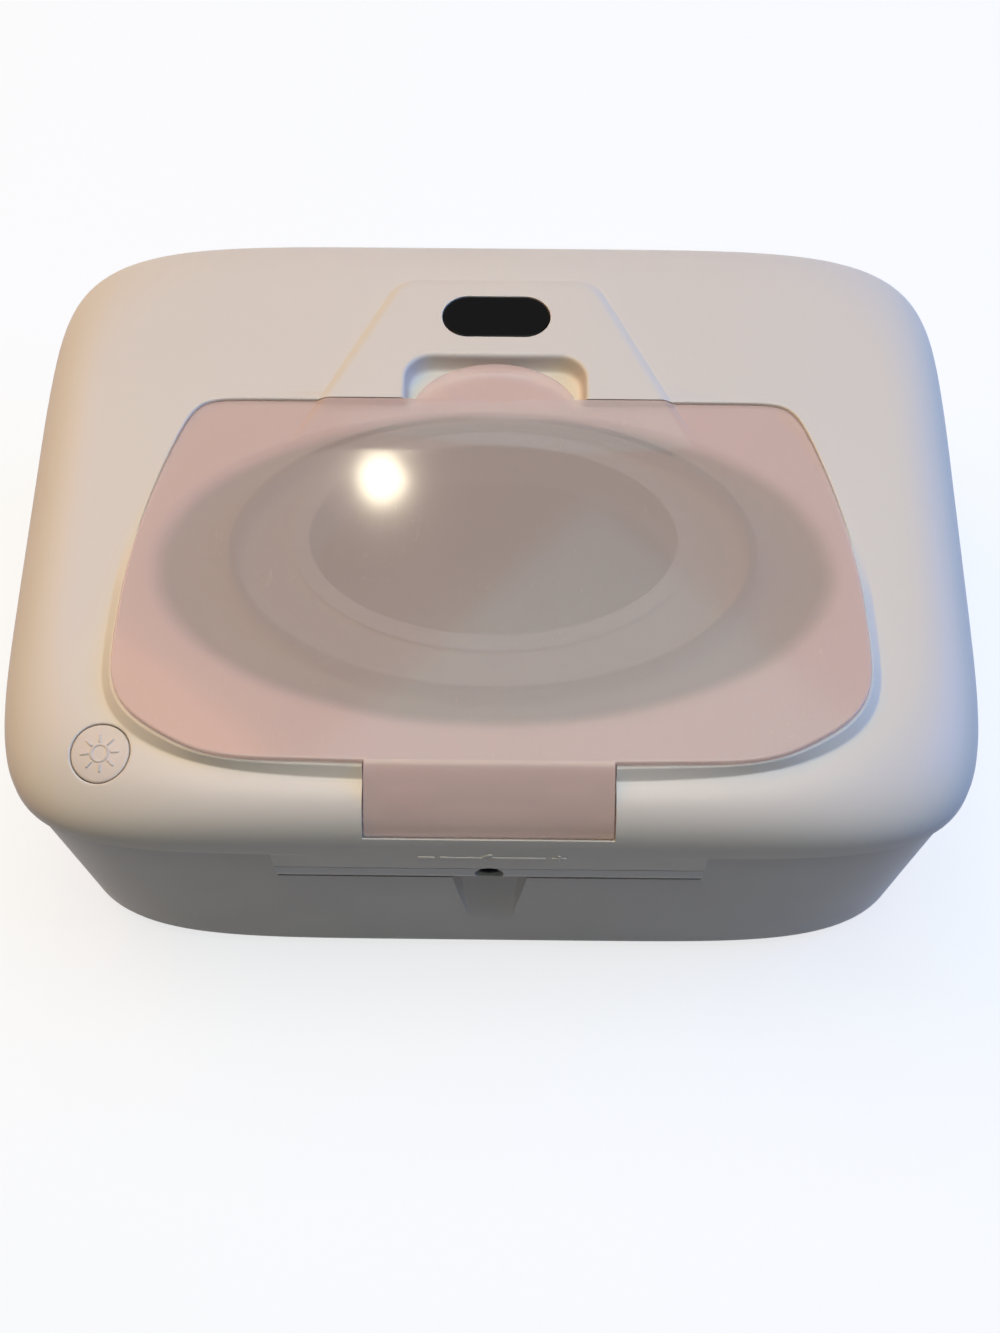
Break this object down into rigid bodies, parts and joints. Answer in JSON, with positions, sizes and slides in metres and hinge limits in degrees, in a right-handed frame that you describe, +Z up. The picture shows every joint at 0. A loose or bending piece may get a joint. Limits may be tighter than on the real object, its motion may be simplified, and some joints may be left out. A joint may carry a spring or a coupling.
{
  "type": "baby wipe warmer",
  "caption": "Low rounded wipe warmer: a tub under a hinged heated lid with a translucent flip lid, a display window, a light button, side latches and a rear power inlet.",
  "frame": {"origin": "middle of the footprint, on the surface that the feet stand on", "axes": "+X across the width, towards the right side as seen from the hinge side in the picture, +Y from the hinge and power inlet at the rear towards the display and finger tab at the front, +Z up"},
  "size_m": [0.2424, 0.181, 0.0933],
  "materials": {
    "shell_white": "fine satin moulding",
    "tub_white": "satin moulding",
    "seal_grey": "soft silicone",
    "foot_rubber": "matte",
    "screw_steel": "zinc plated",
    "pin_steel": "ground",
    "spring_steel": "drawn wire",
    "flip_translucent": "frosted translucent",
    "heater_aluminium": "pressed sheet",
    "film_amber": "polyimide film",
    "felt_grey": "pressed felt",
    "fuse_metal": "plated",
    "sensor_black": "epoxy bead",
    "board_green": "solder mask",
    "display_black": "moulded",
    "led_yellow": "clear epoxy",
    "lens_black": "polished",
    "jack_black": "moulded",
    "lead_black": "sheath",
    "wire_red": "insulation",
    "wire_white": "insulation",
    "button_white": "fine satin moulding",
    "switch_black": "moulded",
    "plunger_red": "moulded"
  },
  "bodies": {
    "base": {"base_shell": "shell_white", "wipe_tub": "tub_white", "tub_gasket": "seal_grey", "rubber_feet": "foot_rubber", "base_screws": "screw_steel", "lid_hinge_pins": "pin_steel", "latch_spring_left": "spring_steel", "latch_spring_right": "spring_steel"},
    "lid": {"lid_top_shell": "shell_white", "lid_inner_shell": "shell_white", "mouth_ring": "tub_white", "mouth_seal": "seal_grey", "lid_screws": "screw_steel", "heater_plate": "heater_aluminium", "heater_film": "film_amber", "heater_insulator": "felt_grey", "heater_screws": "screw_steel", "heater_wires": "wire_red", "thermal_fuse": "fuse_metal", "temperature_sensor": "sensor_black", "control_board": "board_green", "board_screws": "screw_steel", "display_module": "display_black", "indicator_leds": "led_yellow", "display_lens": "lens_black", "dc_jack": "jack_black", "inlet_lead": "lead_black", "switch_board": "board_green", "switch_screws": "screw_steel", "tact_switch": "switch_black", "switch_wires": "wire_white", "flip_hinge_pin": "pin_steel"},
    "flip_lid": {"flip_lid": "flip_translucent", "flip_seal": "seal_grey"},
    "light_button": {"light_button": "button_white", "switch_plunger": "plunger_red"},
    "latch_left": {"latch_left": "shell_white", "latch_hook_left": "tub_white"},
    "latch_right": {"latch_right": "shell_white", "latch_hook_right": "tub_white"}
  },
  "joints": [
    {"name": "lid_hinge", "type": "hinge", "parent": "base", "child": "lid", "pos_m": [0, -0.0843, 0.061], "axis": [1, 0, 0], "range_deg": [0, 90]},
    {"name": "flip_hinge", "type": "hinge", "parent": "lid", "child": "flip_lid", "pos_m": [0, -0.0803, 0.0824], "axis": [1, 0, 0], "range_deg": [0, 100]},
    {"name": "light_button_press", "type": "slide", "parent": "lid", "child": "light_button", "axis": [0.1123, 0.213, -0.9706], "range_m": [0, 0.001], "stiffness_N_per_m": 200},
    {"name": "latch_left_press", "type": "slide", "parent": "base", "child": "latch_left", "axis": [1, 0, 0], "range_m": [0, 0.002], "stiffness_N_per_m": 300, "deforming": ["latch_spring_left"]},
    {"name": "latch_right_press", "type": "slide", "parent": "base", "child": "latch_right", "axis": [-1, 0, 0], "range_m": [0, 0.002], "stiffness_N_per_m": 300, "deforming": ["latch_spring_right"]}
  ]
}
